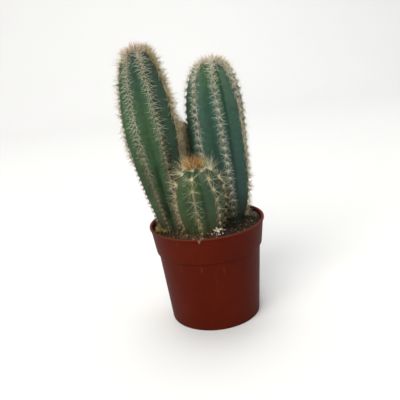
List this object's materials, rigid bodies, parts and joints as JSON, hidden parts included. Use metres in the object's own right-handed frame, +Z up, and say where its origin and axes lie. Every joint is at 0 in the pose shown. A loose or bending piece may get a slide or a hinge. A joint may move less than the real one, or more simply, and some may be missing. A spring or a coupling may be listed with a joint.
{
  "type": "potted pilosocereus azureus",
  "caption": "Blue columnar cactus: ribbed, spined stems of different heights standing together in the potting mix of a round plastic nursery pot.",
  "frame": {"origin": "centre of the flat pad under the pot, on the pot's axis", "axes": "+Z up along the pot's axis; the picture's front faces -Y, and its right is +X"},
  "size_m": [0.0976, 0.0877, 0.2041],
  "materials": {
    "pot_plastic": "satin terracotta-coloured polypropylene",
    "potting_mix": "rough dark potting mix with grit and perlite",
    "stem_green": "waxy green skin with cream wool and beige spines",
    "stem_blue_green": "waxy blue-green skin with white wool and pale spines",
    "stem_young_green": "waxy green skin with cream wool and straw spines",
    "crown_beige": "wool and young pinkish beige spines",
    "crown_cream": "wool and young cream spines",
    "crown_orange": "wool and young orange-brown bristles"
  },
  "bodies": {
    "root": {"pot": "pot_plastic", "soil": "potting_mix", "stem_left": "stem_green", "stem_right": "stem_blue_green", "stem_front": "stem_young_green", "crown_left": "crown_beige", "crown_right": "crown_cream", "crown_front": "crown_orange"}
  },
  "joints": []
}
